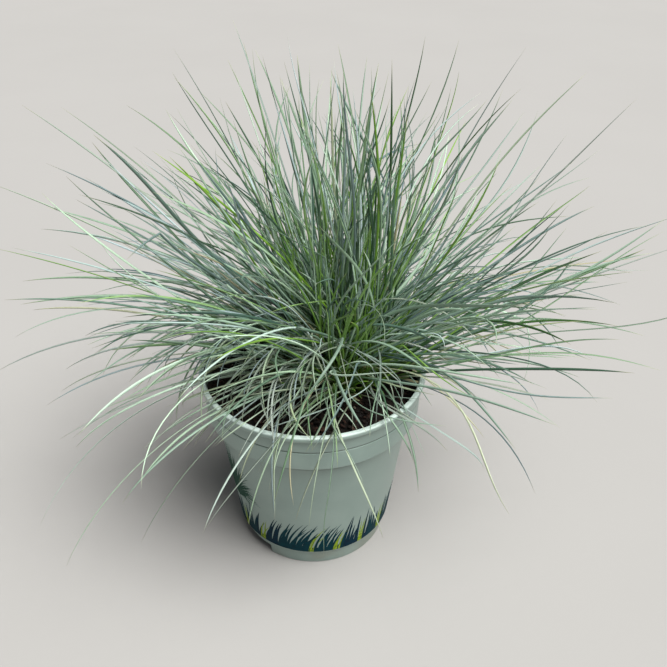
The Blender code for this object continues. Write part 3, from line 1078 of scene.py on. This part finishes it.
def crumb_shapes(rng, centres, size, flat, long, tone):
    """Rough crumbs: a squashed, dented icosahedron at each centre, turned and tipped at random."""
    ball = bmesh.new()
    bmesh.ops.create_icosphere(ball, subdivisions=1, radius=1.0)
    unit_points = np.array([v.co for v in ball.verts])
    triangles = np.array([[v.index for v in f.verts] for f in ball.faces])
    ball.free()
    count, corners = len(centres), len(unit_points)
    dents = rng.uniform(0.62, 1.25, (count, corners, 1))
    local = unit_points[None] * dents * np.stack([long, np.ones(count), flat], -1)[:, None]
    turn, tip = rng.uniform(0, 2 * math.pi, count), rng.normal(0, 0.35, count)
    cos_turn, sin_turn = np.cos(turn)[:, None], np.sin(turn)[:, None]
    cos_tip, sin_tip = np.cos(tip)[:, None], np.sin(tip)[:, None]
    x = local[..., 0] * cos_tip - local[..., 2] * sin_tip
    z = local[..., 0] * sin_tip + local[..., 2] * cos_tip
    y = local[..., 1]
    turned = np.stack([x * cos_turn - y * sin_turn, x * sin_turn + y * cos_turn, z], -1)
    points = centres[:, None] + turned * size[:, None, None]
    faces = (triangles[None] + (np.arange(count) * corners)[:, None, None]).reshape(-1, 3)
    return points.reshape(-1, 3), faces, np.repeat(tone, corners)


def make_crumbs():
    """Loose crumbs, bark chips and grit over the top of the mix."""
    rng = rng_for("crumbs")
    count = 3600
    far = (MIX_RADIUS - 0.0012) * np.sqrt(rng.random(count))
    around = rng.uniform(0, 2 * math.pi, count)
    flat_place = far[:, None] * ring_of(around)
    clear = np.linalg.norm(flat_place - CROWN[:2], axis=1) > 0.80 * CROWN_RADIUS
    flat_place = flat_place[clear]
    count = len(flat_place)
    size = np.clip(rng.lognormal(math.log(0.00095), 0.45, count), 0.0004, 0.0028)
    tone = rng.random(count)
    chip = (tone > 0.74) & (tone < 0.96)
    long = np.where(chip, rng.uniform(1.4, 2.8, count), rng.uniform(0.8, 1.3, count))
    flat = np.where(chip, rng.uniform(0.35, 0.6, count), rng.uniform(0.6, 1.0, count))
    to_wall = MIX_RADIUS + 0.0002 - np.linalg.norm(flat_place, axis=1)
    size = np.minimum(size, to_wall / (1.3 * long))
    height = MIX_TOP - 0.0022 + rng.uniform(0.0, 0.0020, count) + 0.35 * size
    centres = np.column_stack([flat_place, height])
    points, faces, grain_tone = crumb_shapes(rng, centres, size, flat, long, tone)
    sizes = np.full(len(faces), 3)
    mesh = mesh_from_arrays("mix_crumbs", points, faces.ravel(), sizes, {"tone": grain_tone})
    mesh.polygons.foreach_set("use_smooth", np.zeros(len(mesh.polygons), bool))
    new_piece("mix_crumbs", mesh, MIX)
    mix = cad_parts["potting_mix"].data
    mix.materials.clear()
    mix.materials.append(MIX)


# ---------------------------------------------------------------- the floor, lights and camera


def make_stage():
    """A pale floor out to the horizon."""
    mesh = bpy.data.meshes.new("floor")
    disc = bmesh.new()
    bmesh.ops.create_circle(disc, cap_ends=True, radius=FLOOR_RADIUS, segments=96)
    disc.to_mesh(mesh)
    disc.free()
    floor = bpy.data.objects.new("floor", mesh)
    bpy.context.scene.collection.objects.link(floor)
    mesh.materials.append(floor_material())


def make_lights():
    """A broad soft light from above and a little fill from all round. The camera sees the backdrop."""
    key = bpy.data.lights.new("key", "SUN")
    key.energy = KEY_STRENGTH
    key.angle = math.radians(KEY_BREADTH)
    key.color = KEY_COLOUR
    lamp = bpy.data.objects.new("key", key)
    lamp.rotation_euler = Vector(KEY_FROM).to_track_quat("Z", "Y").to_euler()
    bpy.context.scene.collection.objects.link(lamp)
    world = bpy.data.worlds.new("studio")
    bpy.context.scene.world = world
    world.use_nodes = True
    tree = world.node_tree
    fill = tree.nodes["Background"]
    fill.inputs["Color"].default_value = FILL_COLOUR
    fill.inputs["Strength"].default_value = FILL_STRENGTH
    backdrop = tree.nodes.new("ShaderNodeBackground")
    backdrop.inputs["Color"].default_value = BACKDROP_COLOUR
    seen = tree.nodes.new("ShaderNodeLightPath").outputs["Is Camera Ray"]
    both = tree.nodes.new("ShaderNodeMixShader")
    tree.links.new(seen, both.inputs[0])
    tree.links.new(fill.outputs[0], both.inputs[1])
    tree.links.new(backdrop.outputs[0], both.inputs[2])
    tree.links.new(both.outputs[0], tree.nodes["World Output"].inputs["Surface"])


def make_camera():
    """Looks down at the clump from the front, turned a little to the right."""
    data = bpy.data.cameras.new("camera")
    data.lens = CAMERA_LENS
    data.sensor_width = CAMERA_SENSOR
    camera = bpy.data.objects.new("camera", data)
    camera.location = CAMERA_PLACE
    tilt = Euler((math.radians(90 - CAMERA_DOWN), 0, math.radians(-CAMERA_RIGHT)))
    roll = Euler((0, 0, math.radians(CAMERA_ROLL)))
    camera.rotation_euler = (tilt.to_matrix() @ roll.to_matrix()).to_euler()
    bpy.context.scene.collection.objects.link(camera)
    bpy.context.scene.camera = camera


make_camera()
make_pot()
make_print()
make_crumbs()
make_crown()
make_tufts()
make_strays()
make_front()
make_young()
make_lights()
make_stage()
bpy.context.scene.view_settings.view_transform = "Standard"
